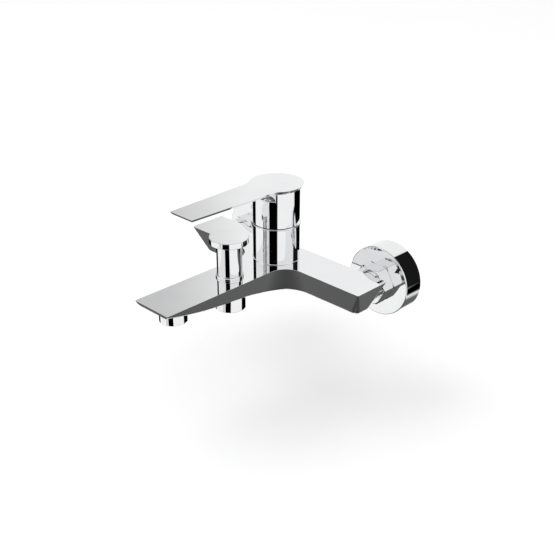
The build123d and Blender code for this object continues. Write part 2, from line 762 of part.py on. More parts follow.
def make_filter_washer(x):
    """Rubber washer with a strainer, between tailpiece and union."""
    outer, hole, strainer = 12.9, 7.6, 0.6
    back_y = seat_y + 2.4
    section = profile(
        upright_from_wall(x),
        (0, seat_y), (outer, seat_y), (outer, back_y), (hole, back_y), (hole, seat_y + strainer), (0, seat_y + strainer),
    )
    pitch, field_radius, way_radius = 2.6, 6.6, 0.8
    with BuildPart() as washer:
        revolve(section, axis=wallward_axis(x))
        face = Plane(origin=(x, seat_y, 0), x_dir=(1, 0, 0), z_dir=(0, 1, 0))
        with BuildSketch(face):
            with Locations(*honeycomb(pitch, field_radius)):
                Circle(way_radius)
        extrude(amount=1.2, mode=Mode.SUBTRACT)
    return washer


def make_eccentric_union(x):
    """Brass union: thread for the nut, an offset waist, and the thread that goes into the wall."""
    front, waist_front, waist_back = -22.0, -9.0, -1.0

    def circle_at(y, radius, drop):
        with BuildSketch(Plane(origin=(x, y, -drop), x_dir=(1, 0, 0), z_dir=(0, 1, 0))) as sketch:
            Circle(radius)
        return sketch.sketch

    waist_end = circle_at(waist_back, union_waist_radius, union_offset)
    bore_start = circle_at(waist_front, union_bore_radius, 0)
    bore_end = circle_at(waist_back, union_bore_radius, union_offset)
    with BuildPart() as union:
        extrude(circle_at(front, union_thread_radius, 0), amount=waist_front - front)
        loft([circle_at(waist_front, union_thread_radius, 0), waist_end])
        extrude(waist_end, amount=-waist_back)
        extrude(circle_at(0.0, wall_thread_radius, union_offset), amount=wall_thread_length)
        wall_end = union.edges().filter_by(GeomType.CIRCLE).group_by(Axis.Y)[-1]
        chamfer(wall_end, 0.8)
        extrude(circle_at(front - 1, union_bore_radius, 0), amount=waist_front - front + 1, mode=Mode.SUBTRACT)
        loft([bore_start, bore_end], mode=Mode.SUBTRACT)
        extrude(bore_end, amount=30.0, mode=Mode.SUBTRACT)
    return union


def make_escutcheon(x):
    """Round wall cover: a drawn shell, open to the wall, with a threaded hole for the union."""
    outer, wall, front = escutcheon_radius, escutcheon_wall, escutcheon_front_y
    hole = union_thread_radius + thread_gap
    rim, hub_wall, hub_length = 0.7, 2.2, 5.0
    section = profile(
        upright_from_wall(x),
        (hole, front), (outer - rim, front), (outer, front + rim), (outer, 0), (outer - wall, 0),
        (outer - wall, front + wall), (hole + hub_wall, front + wall), (hole + hub_wall, front + hub_length),
        (hole, front + hub_length),
    )
    with BuildPart() as escutcheon:
        revolve(section, axis=wallward_axis(x))
    return escutcheon


# ---------------------------------------------------------------- write every piece
single_pieces = {
    "body_casting": make_body_casting,
    "cartridge_base": make_cartridge_base,
    "cartridge_port_seals": make_port_seals,
    "fixed_ceramic_disc": make_fixed_disc,
    "moving_ceramic_disc": make_moving_disc,
    "disc_carrier": make_disc_carrier,
    "cartridge_housing": make_cartridge_housing,
    "cartridge_rotor": make_rotor,
    "stem_pivot_pin": make_pivot_pin,
    "control_stem": make_control_stem,
    "cartridge_retaining_nut": make_retaining_nut,
    "cover_dome": make_cover_dome,
    "lever_handle": make_lever_handle,
    "lever_set_screw": make_set_screw,
    "lever_screw_plug": make_screw_plug,
    "diverter_bonnet": make_diverter_bonnet,
    "diverter_collar": make_diverter_collar,
    "diverter_neck": make_diverter_neck,
    "diverter_spindle": make_diverter_spindle,
    "diverter_knob": make_diverter_knob,
    "diverter_valve": make_diverter_valve,
    "diverter_spring_clip": make_spring_clip,
    "diverter_spring": make_diverter_spring,
    "shower_outlet_gasket": make_outlet_gasket,
    "aerator_housing": make_aerator_housing,
    "aerator_insert": make_aerator_insert,
    "aerator_washer": make_aerator_washer,
}
paired_pieces = {
    "inlet_tailpiece": make_tailpiece,
    "union_nut": make_union_nut,
    "filter_washer": make_filter_washer,
    "eccentric_union": make_eccentric_union,
    "escutcheon": make_escutcheon,
}

for piece_name, make_piece in single_pieces.items():
    finish_piece(make_piece(), piece_name)
for piece_name, make_piece in paired_pieces.items():
    for sign in (-1, 1):
        finish_piece(make_piece(sign * inlet_spacing / 2), f"{piece_name}_{side_name(sign)}")
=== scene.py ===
"""Looks of a wall mounted bath faucet: polished chrome body, lever, diverter and wall covers.

Sizes are in metres in the model's own frame: +X right, +Y into the wall, +Z up, origin on the wall
midway between the inlets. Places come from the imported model's boxes.
"""

from __future__ import annotations

import json
import logging
import math
from dataclasses import dataclass
from enum import Enum
from typing import Any, ClassVar, Sequence

import bmesh
import bpy
from mathutils import Matrix, Vector

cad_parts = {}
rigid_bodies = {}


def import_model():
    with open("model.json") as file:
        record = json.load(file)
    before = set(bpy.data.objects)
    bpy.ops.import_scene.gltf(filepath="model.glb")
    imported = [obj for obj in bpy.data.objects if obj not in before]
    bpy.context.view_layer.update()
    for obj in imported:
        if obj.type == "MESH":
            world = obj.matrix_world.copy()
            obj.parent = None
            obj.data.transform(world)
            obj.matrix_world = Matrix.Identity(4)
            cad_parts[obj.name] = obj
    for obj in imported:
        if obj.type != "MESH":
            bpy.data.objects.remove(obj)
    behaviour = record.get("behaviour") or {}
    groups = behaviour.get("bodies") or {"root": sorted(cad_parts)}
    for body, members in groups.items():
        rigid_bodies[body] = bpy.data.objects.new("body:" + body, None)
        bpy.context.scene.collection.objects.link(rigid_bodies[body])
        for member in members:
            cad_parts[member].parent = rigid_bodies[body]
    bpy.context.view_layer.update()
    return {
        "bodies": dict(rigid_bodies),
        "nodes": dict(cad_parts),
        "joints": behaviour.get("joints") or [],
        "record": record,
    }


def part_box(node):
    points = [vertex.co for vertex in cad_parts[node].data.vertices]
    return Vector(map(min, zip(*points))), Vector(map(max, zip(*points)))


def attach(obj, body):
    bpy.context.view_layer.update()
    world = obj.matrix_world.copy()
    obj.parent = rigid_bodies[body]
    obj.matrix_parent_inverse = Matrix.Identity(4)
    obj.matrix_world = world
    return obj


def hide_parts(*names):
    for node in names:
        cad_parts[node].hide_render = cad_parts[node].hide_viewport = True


LOG = logging.getLogger("bath_faucet")
MM = 0.001
SAME_POINT = 1e-6
ON_AXIS = 1e-7
UP = Vector((0, 0, 1))
INTO_WALL = Vector((0, 1, 0))
Colour = tuple[float, float, float]
Place = tuple[float, float, float]
Point = tuple[float, float]
Corner = tuple[float, float, float]
Span = tuple[float, float]


# ---------------------------------------------------------------- shader maths
class Signal:
    """A value socket that can be used in Python expressions."""

    def __init__(self, bench: "NodeBench", socket: bpy.types.NodeSocket) -> None:
        """Keep the socket and the bench that its tree is built on."""
        self.bench = bench
        self.socket = socket

    def _combine(self, operation: str, first: Any, second: Any) -> "Signal":
        """Add one Math node.

        Args:
            operation: The Math node's operation.
            first: A signal or a number.
            second: A signal or a number.

        Returns:
            The result as a signal.
        """
        return self.bench.make("ShaderNodeMath", {"operation": operation}, [first, second])

    def __add__(self, other: Any) -> "Signal":
        """Return self + other."""
        return self._combine("ADD", self, other)

    def __radd__(self, other: Any) -> "Signal":
        """Return other + self."""
        return self._combine("ADD", other, self)

    def __sub__(self, other: Any) -> "Signal":
        """Return self - other."""
        return self._combine("SUBTRACT", self, other)

    def __rsub__(self, other: Any) -> "Signal":
        """Return other - self."""
        return self._combine("SUBTRACT", other, self)

    def __mul__(self, other: Any) -> "Signal":
        """Return self * other."""
        return self._combine("MULTIPLY", self, other)

    def __rmul__(self, other: Any) -> "Signal":
        """Return other * self."""
        return self._combine("MULTIPLY", other, self)

    def __truediv__(self, other: Any) -> "Signal":
        """Return self / other."""
        return self._combine("DIVIDE", self, other)

    def __rtruediv__(self, other: Any) -> "Signal":
        """Return other / self."""
        return self._combine("DIVIDE", other, self)

    def step(self, low: float, high: float) -> "Signal":
        """Rise smoothly from 0 to 1.

        Args:
            low: Where the rise starts.
            high: Where the rise ends.

        Returns:
            The rise as a signal from 0 to 1.
        """
        settings = {"interpolation_type": "SMOOTHSTEP", "clamp": True}
        span = {"Value": self, "From Min": low, "From Max": high}
        return self.bench.make("ShaderNodeMapRange", settings, span)


class NodeBench:
    """Builds one node tree."""

    COLOUR_MIX_INPUTS = (0, 6, 7)
    COLOUR_MIX_OUTPUT = 2

    def __init__(self, tree: bpy.types.NodeTree) -> None:
        """Empty the tree and keep it."""
        tree.nodes.clear()
        self.tree = tree

    def node(self, kind: str, settings: dict[str, Any] | None = None, inputs: Any = None) -> bpy.types.Node:
        """Add any node.

        Args:
            kind: The node's type.
            settings: Its properties, set before its sockets.
            inputs: Values or links, by socket name or number, or as a list in socket order.

        Returns:
            The new node.
        """
        node = self.tree.nodes.new(kind)
        for key, value in (settings or {}).items():
            setattr(node, key, value)
        pairs = inputs.items() if isinstance(inputs, dict) else enumerate(inputs or [])
        for key, value in pairs:
            self._feed(node.inputs[key], value)
        return node

    def make(
        self, kind: str, settings: dict[str, Any] | None = None, inputs: Any = None, output: Any = 0
    ) -> Signal:
        """Add any node and return one of its outputs.

        Args:
            kind: The node's type.
            settings: Its properties.
            inputs: Values or links of its sockets.
            output: Name or number of the output socket.

        Returns:
            That output as a signal.
        """
        return Signal(self, self.node(kind, settings, inputs).outputs[output])

    def mix(self, factor: Any, first: Any, second: Any) -> Signal:
        """Mix two colours.

        Args:
            factor: 0 gives the first colour, 1 the second.
            first: A colour or a signal.
            second: A colour or a signal.

        Returns:
            The mixed colour.
        """
        inputs = dict(zip(self.COLOUR_MIX_INPUTS, (factor, first, second)))
        return self.make("ShaderNodeMix", {"data_type": "RGBA"}, inputs, self.COLOUR_MIX_OUTPUT)

    def _feed(self, socket: bpy.types.NodeSocket, value: Any) -> None:
        """Link a signal to a socket, or set the socket's value.

        Args:
            socket: The socket to feed.
            value: A signal, a number, a material, or a colour as three numbers.
        """
        if isinstance(value, Signal):
            self.tree.links.new(value.socket, socket)
        elif isinstance(value, tuple) and socket.type == "RGBA":
            socket.default_value = (*value, 1.0)
        else:
            socket.default_value = value


# ---------------------------------------------------------------- finishes
class Grain(Enum):
    """How a surface was last worked."""

    POLISHED = "polished"
    TURNED = "turned"
    MOULDED = "moulded"


@dataclass(frozen=True)
class Finish:
    """One finish: two close shades that drift over the surface, with its gloss and its grain."""

    name: str
    shade: Colour
    drift: Colour
    metallic: float
    roughness: float
    unevenness: float
    grain: Grain
    patch_size: float = 18 * MM
    grain_size: float = 0.25 * MM
    relief: float = 0.0
    patch_detail: float = 3.0
    patch_roughness: float = 0.55
    drift_from: float = 0.3
    drift_to: float = 0.7
    grain_share: float = 0.5
    relief_strength: float = 0.35
    ring_scale: float = 0.2
    ring_distortion: float = 1.5
    polished_detail: float = 2.0
    moulded_detail: float = 5.0

    def build(self) -> bpy.types.Material:
        """Make the material.

        Returns:
            A node material on Object coordinates.
        """
        material = bpy.data.materials.new(self.name)
        material.use_nodes = True
        bench = NodeBench(material.node_tree)
        place = bench.make("ShaderNodeTexCoord", output="Object")
        patches = bench.make("ShaderNodeTexNoise", None, {
            "Vector": place,
            "Scale": 1 / self.patch_size,
            "Detail": self.patch_detail,
            "Roughness": self.patch_roughness,
        })
        grain = self._grain(bench, place)
        grain_unevenness = self.unevenness * self.grain_share
        roughness = self.roughness + (patches - 0.5) * self.unevenness + (grain - 0.5) * grain_unevenness
        surface = {
            "Base Color": bench.mix(patches.step(self.drift_from, self.drift_to), self.shade, self.drift),
            "Metallic": self.metallic,
            "Roughness": roughness,
        }
        if self.relief:
            bump = {"Strength": self.relief_strength, "Distance": self.relief, "Height": grain}
            surface["Normal"] = bench.make("ShaderNodeBump", None, bump)
        shader = bench.make("ShaderNodeBsdfPrincipled", None, surface)
        bench.node("ShaderNodeOutputMaterial", None, {"Surface": shader})
        return material

    def _grain(self, bench: NodeBench, place: Signal) -> Signal:
        """Make the fine pattern that working the surface left.

        Args:
            bench: The bench of the material's tree.
            place: Object coordinates.

        Returns:
            The pattern, from 0 to 1.
        """
        if self.grain is Grain.TURNED:
            wave = {"wave_type": "RINGS", "rings_direction": "SPHERICAL"}
            scale = self.ring_scale / self.grain_size
            rings = {"Vector": place, "Scale": scale, "Distortion": self.ring_distortion}
            return bench.make("ShaderNodeTexWave", wave, rings)
        detail = self.polished_detail if self.grain is Grain.POLISHED else self.moulded_detail
        specks = {"Vector": place, "Scale": 1 / self.grain_size, "Detail": detail}
        return bench.make("ShaderNodeTexNoise", None, specks)


CHROME = Finish(
    name="polished_chrome",
    shade=(0.87, 0.875, 0.88),
    drift=(0.845, 0.85, 0.86),
    metallic=1.0,
    roughness=0.03,
    unevenness=0.02,
    grain=Grain.POLISHED,
    patch_size=26 * MM,
    grain_size=0.6 * MM,
)
BRASS = Finish(
    name="machined_brass",
    shade=(0.72, 0.53, 0.24),
    drift=(0.62, 0.43, 0.18),
    metallic=1.0,
    roughness=0.24,
    unevenness=0.1,
    grain=Grain.TURNED,
    patch_size=9 * MM,
    grain_size=0.3 * MM,
    relief=0.02 * MM,
)
STEEL = Finish(
    name="bright_steel",
    shade=(0.62, 0.63, 0.65),
    drift=(0.52, 0.53, 0.55),
    metallic=1.0,
    roughness=0.22,
    unevenness=0.1,
    grain=Grain.TURNED,
    patch_size=6 * MM,
    grain_size=0.2 * MM,
    relief=0.01 * MM,
)
CERAMIC = Finish(
    name="lapped_ceramic",
    shade=(0.92, 0.91, 0.86),
    drift=(0.87, 0.86, 0.81),
    metallic=0.0,
    roughness=0.18,
    unevenness=0.08,
    grain=Grain.POLISHED,
    patch_size=5 * MM,
    grain_size=0.2 * MM,
)
LIGHT_PLASTIC = Finish(
    name="moulded_light_plastic",
    shade=(0.80, 0.80, 0.77),
    drift=(0.73, 0.73, 0.70),
    metallic=0.0,
    roughness=0.42,
    unevenness=0.12,
    grain=Grain.MOULDED,
    patch_size=6 * MM,
    grain_size=0.15 * MM,
    relief=0.01 * MM,
)
DARK_PLASTIC = Finish(
    name="moulded_dark_plastic",
    shade=(0.06, 0.07, 0.08),
    drift=(0.04, 0.045, 0.05),
    metallic=0.0,
    roughness=0.46,
    unevenness=0.12,
    grain=Grain.MOULDED,
    patch_size=6 * MM,
    grain_size=0.15 * MM,
    relief=0.01 * MM,
)
RUBBER = Finish(
    name="black_rubber",
    shade=(0.025, 0.025, 0.025),
    drift=(0.04, 0.04, 0.04),
    metallic=0.0,
    roughness=0.7,
    unevenness=0.15,
    grain=Grain.MOULDED,
    patch_size=4 * MM,
    grain_size=0.12 * MM,
    relief=0.02 * MM,
)
SLOT_FINISHES = {
    "chrome": CHROME,
    "brass": BRASS,
    "steel": STEEL,
    "ceramic": CERAMIC,
    "light_plastic": LIGHT_PLASTIC,
    "dark_plastic": DARK_PLASTIC,
    "rubber": RUBBER,
}


class Workshop:
    """Keeps the frame, makes each finish once, and hands finished pieces to their bodies."""

    def __init__(self, frame: dict[str, Any]) -> None:
        """Keep the frame and build every finish.
        """
        self.frame = frame
        self.materials = {slot: finish.build() for slot, finish in SLOT_FINISHES.items()}
        self.node_slots = {row["node"]: row["material_slot"] for row in frame["record"]["subparts"]}
        self.node_body = {
            node: body for body, nodes in frame["record"]["behaviour"]["bodies"].items() for node in nodes
        }

    def dress_node(self, node: str) -> None:
        """Give a kept node the finish of its slot.

        Args:
            node: The node's name.
        """
        mesh = self.frame["nodes"][node].data
        mesh.materials.clear()
        mesh.materials.append(self.materials[self.node_slots[node]])
        LOG.info("kept %s", node)

    def deliver(self, piece: bpy.types.Object, node: str, replaces: bool = True) -> None:
        """Finish a new piece that belongs to a node.

        Args:
            piece: The new object, in place.
            node: The node that it stands for or adds to.
            replaces: Whether the node itself is hidden.
        """
        piece.data.materials.clear()
        piece.data.materials.append(self.materials[self.node_slots[node]])
        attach(piece, self.node_body[node])
        if replaces:
            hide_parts(node)
        LOG.info("made %s, %d faces", piece.name, len(piece.data.polygons))


# ---------------------------------------------------------------- mesh helpers
def new_object(name: str, mesh: bpy.types.Mesh) -> bpy.types.Object:
    """Put a mesh into the scene.

    Args:
        name: The object's name.
        mesh: Its mesh.

    Returns:
        The new object, at the origin.
    """
    piece = bpy.data.objects.new(name, mesh)
    bpy.context.scene.collection.objects.link(piece)
    return piece


def soften(piece: bpy.types.Object, sharp_above: float = 32.0, flat_weight: int = 80) -> None:
    """Shade a piece smoothly between its real edges.

    Args:
        piece: The piece.
        sharp_above: Edges that turn by more than this many degrees stay sharp.
        flat_weight: How strongly the larger faces set the shading, where 50 is even.
    """
    piece.data.shade_smooth()
    piece.data.set_sharp_from_angle(angle=math.radians(sharp_above))
    weights = piece.modifiers.new("even_flats", "WEIGHTED_NORMAL")
    weights.keep_sharp = True
    weights.weight = flat_weight


def rounded_path(points: Sequence[Corner], steps: int = 5, side_share: float = 0.49) -> list[Point]:
    """Round the corners of a closed outline.

    Args:
        points: Corners as (radius, height, rounding).
        steps: Segments in each rounding.
        side_share: The most of a side that a rounding may take.

    Returns:
        The outline's points.
    """
    outline: list[Point] = []
    count = len(points)
    for index, (x, y, rounding) in enumerate(points):
        corner = Vector((x, y))
        before = Vector(points[index - 1][:2]) - corner
        after = Vector(points[(index + 1) % count][:2]) - corner
        if rounding <= 0:
            outline.append((x, y))
            continue
        half = before.angle(after) / 2
        longest = min(before.length, after.length) * side_share
        reach = min(rounding / math.tan(half), longest)
        start = corner + before.normalized() * reach
        end = corner + after.normalized() * reach
        for step in range(steps + 1):
            share = step / steps
            spot = start * (1 - share) ** 2 + corner * (2 * share * (1 - share)) + end * share**2
            outline.append((spot.x, spot.y))
    return outline


def turned_mesh(
    name: str, outline: Sequence[Point], spot: Vector, toward: Vector, segments: int = 160
) -> bpy.types.Object:
    """Turn a closed outline round an axis.

    Args:
        name: The piece's name.
        outline: Points as (radius, height along the axis).
        spot: Where height 0 is.
        toward: The direction in which height grows.
        segments: Steps round the axis.

    Returns:
        The turned piece.
    """
    frame = toward.to_track_quat("Z", "Y").to_matrix()
    mesh = bmesh.new()
    rings = []
    for radius, height in outline:
        if radius < ON_AXIS:
            rings.append([mesh.verts.new(spot + frame @ Vector((0, 0, height)))] * segments)
            continue
        ring = []
        for step in range(segments):
            angle = 2 * math.pi * step / segments
            corner = Vector((radius * math.cos(angle), radius * math.sin(angle), height))
            ring.append(mesh.verts.new(spot + frame @ corner))
        rings.append(ring)
    for index, ring in enumerate(rings):
        following = rings[(index + 1) % len(rings)]
        for step in range(segments):
            around = (step + 1) % segments
            corners = list(dict.fromkeys((ring[step], ring[around], following[around], following[step])))
            if len(corners) > 2:
                mesh.faces.new(corners)
    bmesh.ops.recalc_face_normals(mesh, faces=mesh.faces)
    data = bpy.data.meshes.new(name)
    mesh.to_mesh(data)
    mesh.free()
    return new_object(name, data)


def refined_copy(
    node: bpy.types.Object,
    name: str,
    edge_round: float,
    flat_within: float = 0.4,
    edge_above: float = 40.0,
    edge_steps: int = 2,
) -> bpy.types.Object:
    """Copy a node's mesh, join its loose triangles, and break its real edges a little.

    Args:
        node: The node to copy.
        name: The piece's name.
        edge_round: Width of the broken edges.
        flat_within: Faces that differ by fewer degrees than this are joined.
        edge_above: Edges that turn by more than this many degrees are broken.
        edge_steps: Segments across a broken edge.

    Returns:
        The refined copy.
    """
    mesh = bmesh.new()
    mesh.from_mesh(node.data)
    bmesh.ops.remove_doubles(mesh, verts=mesh.verts, dist=SAME_POINT)
    bmesh.ops.dissolve_limit(mesh, angle_limit=math.radians(flat_within), verts=mesh.verts, edges=mesh.edges)
    data = bpy.data.meshes.new(name)
    mesh.to_mesh(data)
    mesh.free()
    piece = new_object(name, data)
    if edge_round > 0:
        bevel = piece.modifiers.new("broken_edges", "BEVEL")
        bevel.width = edge_round
        bevel.segments = edge_steps
        bevel.limit_method = "ANGLE"
        bevel.angle_limit = math.radians(edge_above)
        bevel.use_clamp_overlap = True
    soften(piece)
    return piece


# ---------------------------------------------------------------- repeated detail
@dataclass(frozen=True)
class Thread:
    """A helical thread rib that winds about an axis."""

    RANDOM_SOCKETS: ClassVar[tuple[int, int, int]] = (2, 3, 1)

    radius: float
    length: float
    pitch: float = 1.814 * MM
    rib: float = 0.5 * MM
    rib_variation: float = 0.03
    rib_sides: int = 3
    steps_per_turn: int = 40
    seed: int = 4

    def _values(self) -> dict[str, float]:
        """Gather the sizes for the tree's inputs.

        Returns:
            Each size by the name of its input.
        """
        return {
            "Radius": self.radius,
            "Length": self.length,
            "Turns": self.length / self.pitch,
            "Rib": self.rib,
            "Steps": self.steps_per_turn,
            "Seed": self.seed,
        }

    def _tree(self, material: bpy.types.Material) -> bpy.types.GeometryNodeTree:
        """Make the Geometry Nodes tree: a spiral with a three-sided rib swept along it.

        Args:
            material: The rib's material.

        Returns:
            The tree, with its sizes as named inputs.
        """
        tree = bpy.data.node_groups.new("thread_rib", "GeometryNodeTree")
        for name, value in self._values().items():
            kind = "NodeSocketInt" if isinstance(value, int) else "NodeSocketFloat"
            tree.interface.new_socket(name, in_out="INPUT", socket_type=kind)
        tree.interface.new_socket("Geometry", in_out="OUTPUT", socket_type="NodeSocketGeometry")
        bench = NodeBench(tree)
        sizes = bench.node("NodeGroupInput")
        given = {name: Signal(bench, sizes.outputs[name]) for name in self._values()}
        spiral = bench.make("GeometryNodeCurveSpiral", None, {
            "Resolution": given["Steps"],
            "Rotations": given["Turns"],
            "Start Radius": given["Radius"],
            "End Radius": given["Radius"],
            "Height": given["Length"],
        })
        low, high, drawn = self.RANDOM_SOCKETS
        wobble = bench.make("FunctionNodeRandomValue", {"data_type": "FLOAT"}, {
            low: given["Rib"] * (1 - self.rib_variation),
            high: given["Rib"] * (1 + self.rib_variation),
            "Seed": given["Seed"],
        }, drawn)
        profile = {"Resolution": self.rib_sides, "Radius": 1.0}
        section = bench.make("GeometryNodeCurvePrimitiveCircle", {"mode": "RADIUS"}, profile)
        swept = bench.make("GeometryNodeCurveToMesh", None, {
            "Curve": spiral,
            "Profile Curve": section,
            "Scale": wobble,
            "Fill Caps": True,
        })
        real = bench.make("GeometryNodeRealizeInstances", None, {"Geometry": swept})
        dressed = bench.make("GeometryNodeSetMaterial", None, {"Geometry": real, "Material": material})
        bench.node("NodeGroupOutput", None, {"Geometry": dressed})
        return tree

    def build(
        self, name: str, spot: Vector, toward: Vector, material: bpy.types.Material
    ) -> bpy.types.Object:
        """Bake the thread into a plain mesh in place.

        Args:
            name: The piece's name.
            spot: Where the thread starts on its axis.
            toward: The direction that it runs in.
            material: The thread's material.

        Returns:
            The thread as a piece at the origin.
        """
        carrier = new_object(name + "_carrier", bpy.data.meshes.new(name + "_carrier"))
        tree = self._tree(material)
        modifier = carrier.modifiers.new("thread", "NODES")
        modifier.node_group = tree
        values = self._values()
        for item in tree.interface.items_tree:
            if item.item_type == "SOCKET" and item.in_out == "INPUT":
                modifier[item.identifier] = values[item.name]
        graph = bpy.context.evaluated_depsgraph_get()
        mesh = bpy.data.meshes.new_from_object(carrier.evaluated_get(graph), depsgraph=graph)
        carrier.modifiers.clear()
        bpy.data.objects.remove(carrier)
        place = Matrix.Translation(spot) @ toward.to_track_quat("Z", "Y").to_matrix().to_4x4()
        mesh.transform(place)
        mesh.name = name
        return new_object(name, mesh)


# ---------------------------------------------------------------- sub-assemblies
@dataclass
class CastBody:
    """The T-shaped casting with its column."""

    edge_round: float = 0.12 * MM
    column_radius: float = 19.8 * MM
    deck_height: float = 13.5 * MM
    foot_round: float = 0.6 * MM
    foot_steps: int = 6
    foot_sharp_above: float = 60.0

    def build(self, shop: Workshop) -> None:
        """Make the casting, with the small hollow round where its column meets the deck.

        Args:
            shop: The workshop that finishes the pieces.
        """
        piece = refined_copy(shop.frame["nodes"]["body_casting"], "body_shell", self.edge_round)
        shop.deliver(piece, "body_casting")
        low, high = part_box("cover_dome")
        centre = Vector(((low.x + high.x) / 2, (low.y + high.y) / 2, self.deck_height))
        reach = self.foot_round
        hollow = [(self.column_radius - reach, -reach), (self.column_radius + reach, -reach)]
        for step in range(self.foot_steps + 1):
            angle = math.pi / 2 * step / self.foot_steps
            hollow.append((self.column_radius + reach * (1 - math.sin(angle)), reach * (1 - math.cos(angle))))
        hollow.append((self.column_radius - reach, reach))
        foot = turned_mesh("column_foot", hollow, centre, UP)
        soften(foot, self.foot_sharp_above)
        shop.deliver(foot, "body_casting", replaces=False)


@dataclass
class LeverSet:
    """The lever with the bright cover bead below it."""

    edge_round: float = 0.12 * MM

    def build(self, shop: Workshop) -> None:
        """Make the lever and the cover, and dress the screw and its plug.

        Args:
            shop: The workshop that finishes the pieces.
        """
        nodes = shop.frame["nodes"]
        shop.deliver(refined_copy(nodes["lever_handle"], "lever", self.edge_round), "lever_handle")
        shop.deliver(refined_copy(nodes["cover_dome"], "seam_cover", 0.0), "cover_dome")
        for node in ("lever_set_screw", "lever_screw_plug"):
            shop.dress_node(node)


@dataclass
class DiverterSet:
    """Pull knob, neck and collar of the diverter."""

    knob_edge: float = 0.45 * MM
    neck_edge: float = 0.4 * MM
    collar_edge: float = 0.9 * MM
    foot_edge: float = 0.1 * MM
    spindle_radius: float = 2.5 * MM
    spindle_gap: float = 0.06 * MM
    neck_wall: float = 2.0 * MM
    neck_cap: float = 3.0 * MM
    collar_bore: float = 8.0 * MM

    def build(self, shop: Workshop) -> None:
        """Make the knob, the neck and the collar, and dress what is inside.

        Args:
            shop: The workshop that finishes the pieces.
        """
        low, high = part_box("diverter_knob")
        axis = Vector(((low.x + high.x) / 2, (low.y + high.y) / 2, 0))
        radius, thickness = (high.x - low.x) / 2, high.z - low.z
        knob = [
            (0, 0, 0),
            (radius, 0, self.knob_edge),
            (radius, thickness, self.knob_edge),
            (0, thickness, 0),
        ]
        self._turn(shop, "pull_knob", knob, Vector((axis.x, axis.y, low.z)), "diverter_knob")
        low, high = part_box("diverter_neck")
        radius, length = (high.x - low.x) / 2, high.z - low.z
        inner = radius - self.neck_wall
        hole = self.spindle_radius + self.spindle_gap
        neck = [
            (inner, 0, 0),
            (radius, 0, self.foot_edge),
            (radius, length, self.neck_edge),
            (hole, length, self.foot_edge),
            (hole, length - self.neck_cap, 0),
            (inner, length - self.neck_cap, 0),
        ]
        self._turn(shop, "diverter_sleeve", neck, Vector((axis.x, axis.y, low.z)), "diverter_neck")
        low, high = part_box("diverter_collar")
        radius, length = (high.x - low.x) / 2, high.z - low.z
        collar = [
            (self.collar_bore, 0, 0),
            (radius, 0, self.foot_edge),
            (radius, length, self.collar_edge),
            (self.collar_bore, length, 0),
        ]
        self._turn(shop, "base_collar", collar, Vector((axis.x, axis.y, low.z)), "diverter_collar")
        for part in ("bonnet", "spindle", "valve", "spring_clip", "spring"):
            shop.dress_node(f"diverter_{part}")

    @staticmethod
    def _turn(shop: Workshop, name: str, corners: Sequence[Corner], centre: Vector, node: str) -> None:
        """Turn one round piece about a vertical axis and deliver it.

        Args:
            shop: The workshop that finishes the piece.
            name: The piece's name.
            corners: Its outline, as (radius, height, rounding).
            centre: Where height 0 is.
            node: The node that it replaces.
        """
        piece = turned_mesh(name, rounded_path(corners), centre, UP)
        soften(piece)
        shop.deliver(piece, node)


@dataclass
class AeratorSet:
    """The aerator under the spout's tip, and the gasket in the shower outlet."""

    ring_edge: float = 0.1 * MM

    def build(self, shop: Workshop) -> None:
        """Make the ring, and dress what is in it and the gasket.

        Args:
            shop: The workshop that finishes the pieces.
        """
        ring = refined_copy(shop.frame["nodes"]["aerator_housing"], "aerator_ring", self.ring_edge)
        shop.deliver(ring, "aerator_housing")
        for node in ("aerator_insert", "aerator_washer", "shower_outlet_gasket"):
            shop.dress_node(node)


class Side(Enum):
    """Which of the two inlets."""

    LEFT = "left"
    RIGHT = "right"


